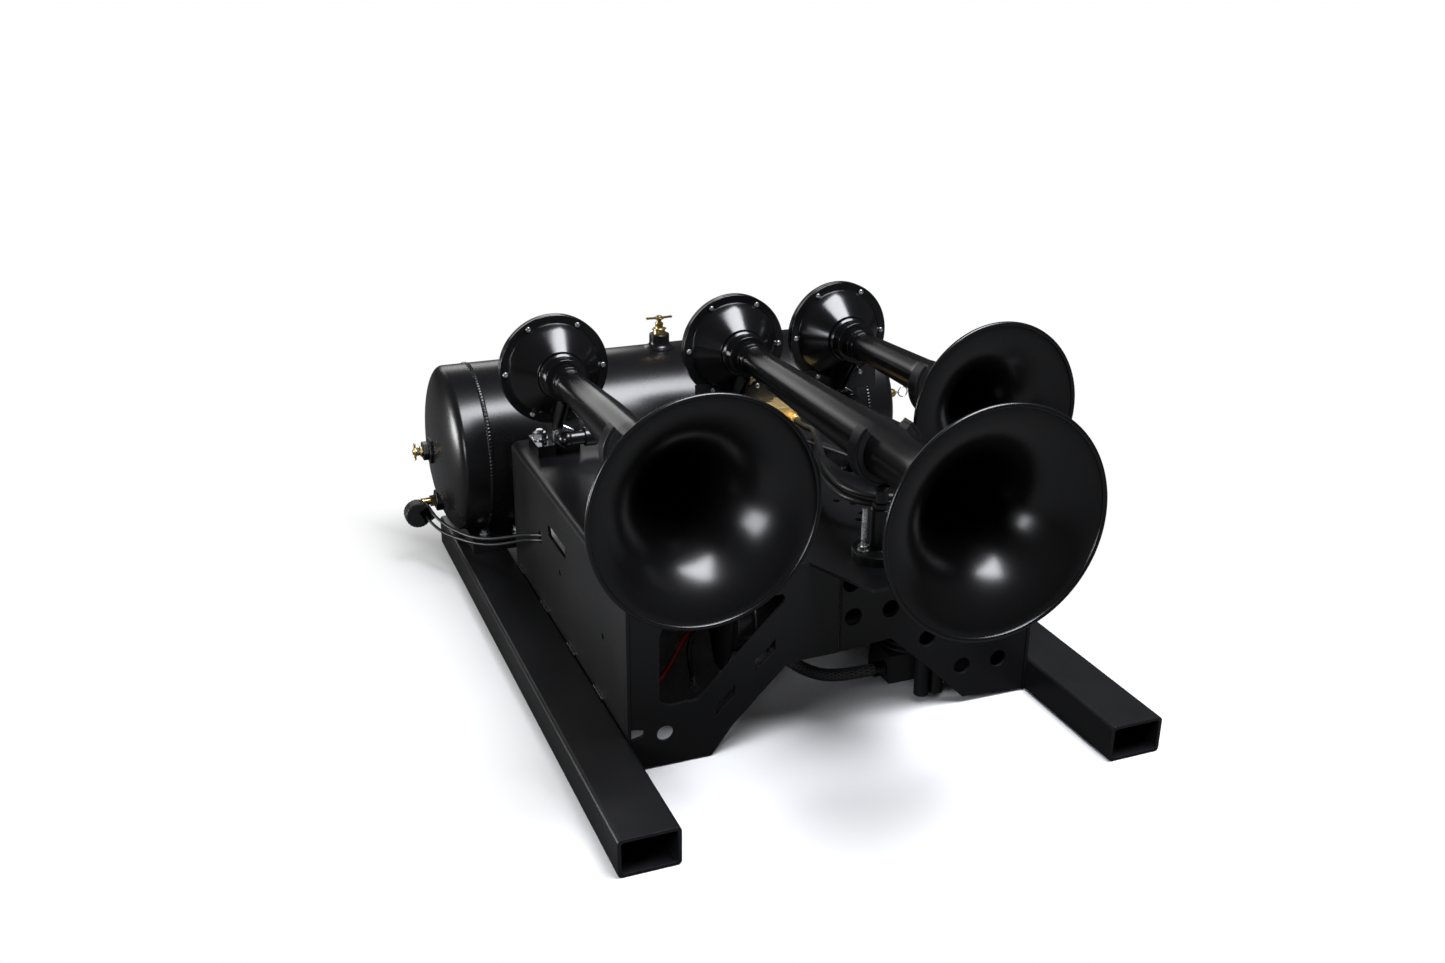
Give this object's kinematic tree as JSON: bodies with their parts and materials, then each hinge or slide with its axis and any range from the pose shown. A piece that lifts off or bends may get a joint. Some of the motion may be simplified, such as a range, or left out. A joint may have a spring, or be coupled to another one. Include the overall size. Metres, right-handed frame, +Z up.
{
  "type": "train air horn",
  "caption": "Skid-mounted air horn kit: three trumpets on clamps over a welded deck, with an air tank, brass valve, hoses and a compressor",
  "frame": {"origin": "on the ground, midway between the rails and midway along them", "axes": "the bells point along -Y, +X is to the right for someone who looks into the bells, +Z is up"},
  "size_m": [0.9087, 1.1202, 0.5347],
  "materials": {
    "black_insulation": "smooth black insulation",
    "black_plastic": "matt moulded black",
    "black_rubber": "smooth black rubber",
    "braid": "dark woven braid over rubber",
    "brass": "plain machined brass",
    "cast_aluminium": "die-cast, lightly blasted",
    "cast_black": "die-cast aluminium under satin black paint",
    "housing_gloss": "glossy moulded black",
    "motor_black": "satin black paint",
    "powder_coat": "satin powder coat with a fine grain",
    "red_insulation": "smooth red insulation",
    "spring_steel": "thin polished steel sheet",
    "steel": "machined steel",
    "tank_paint": "smooth satin black paint over the weld beads",
    "trumpet_paint": "semi-gloss black paint over spun sheet",
    "zinc": "bright zinc plating"
  },
  "bodies": {
    "skid": {"left_rail": "powder_coat", "right_rail": "powder_coat", "saddle_deck": "powder_coat", "left_truss_plate": "powder_coat", "right_truss_plate": "powder_coat", "tank_shell": "tank_paint", "tank_left_end": "tank_paint", "tank_right_end": "tank_paint", "tank_feet": "powder_coat", "tank_foot_bolts": "zinc", "top_cock_body": "brass", "end_cock_body": "brass", "safety_valve_body": "brass", "switch_fitting": "brass", "pressure_switch": "black_plastic", "switch_leads": "black_insulation", "left_trumpet": "trumpet_paint", "middle_trumpet": "trumpet_paint", "right_trumpet": "trumpet_paint", "front_housings": "housing_gloss", "horn_diaphragms": "spring_steel", "rear_covers": "housing_gloss", "horn_unions": "housing_gloss", "rim_screws": "zinc", "left_bracket": "powder_coat", "middle_bracket": "powder_coat", "right_bracket": "powder_coat", "left_clamp": "powder_coat", "middle_clamp": "powder_coat", "right_clamp": "powder_coat", "clamp_liners": "black_rubber", "clamp_posts": "powder_coat", "deck_studs": "zinc", "post_nuts": "zinc", "bracket_blocks": "powder_coat", "bracket_bolts": "zinc", "inlet_fittings": "black_plastic", "valve_block": "brass", "valve_coil": "black_plastic", "left_hose": "black_rubber", "middle_hose": "black_rubber", "right_hose": "black_rubber", "compressor_hose": "braid", "supply_pipe": "brass", "hose_fittings": "motor_black", "motor_case": "motor_black", "crank_case": "cast_black", "cylinder_head": "cast_black", "intake_silencers": "black_plastic", "compressor_hangers": "powder_coat", "red_power_lead": "red_insulation", "black_power_lead": "black_insulation", "ring_terminals": "zinc"},
    "top_cock_handle": {"top_cock_handle": "brass"},
    "end_cock_handle": {"end_cock_handle": "brass"},
    "safety_stem": {"safety_valve_stem": "zinc"},
    "plunger": {"valve_plunger": "steel"},
    "crank": {"crank_shaft": "steel"},
    "rod": {"connecting_rod": "cast_aluminium"},
    "piston": {"piston": "cast_aluminium"}
  },
  "joints": [
    {"name": "top_cock_turn", "type": "hinge", "parent": "skid", "child": "top_cock_handle", "pos_m": [0.004, 0.415, 0.3785], "axis": [0, 0, 1], "range_deg": [0, 360]},
    {"name": "end_cock_turn", "type": "hinge", "parent": "skid", "child": "end_cock_handle", "pos_m": [-0.3957, 0.415, 0.1945], "axis": [1, 0, 0], "range_deg": [0, 360]},
    {"name": "safety_pull", "type": "slide", "parent": "skid", "child": "safety_stem", "axis": [1, 0, 0], "range_m": [0, 0.003], "stiffness_N_per_m": 800},
    {"name": "plunger_lift", "type": "slide", "parent": "skid", "child": "plunger", "axis": [0, 0, 1], "range_m": [0, 0.004], "stiffness_N_per_m": 600},
    {"name": "crank_turn", "type": "hinge", "parent": "skid", "child": "crank", "pos_m": [0.1215, -0.219, 0.165], "axis": [1, 0, 0], "continuous": true},
    {"name": "rod_swing", "type": "hinge", "parent": "crank", "child": "rod", "pos_m": [0.135, -0.219, 0.155], "axis": [1, 0, 0], "continuous": true},
    {"name": "piston_stroke", "type": "slide", "parent": "skid", "child": "piston", "axis": [0, 0, 1], "range_m": [0, 0.02]}
  ],
  "couplings": [
    {"joint": "rod_swing", "follows": "crank_turn", "ratio": -1}
  ]
}
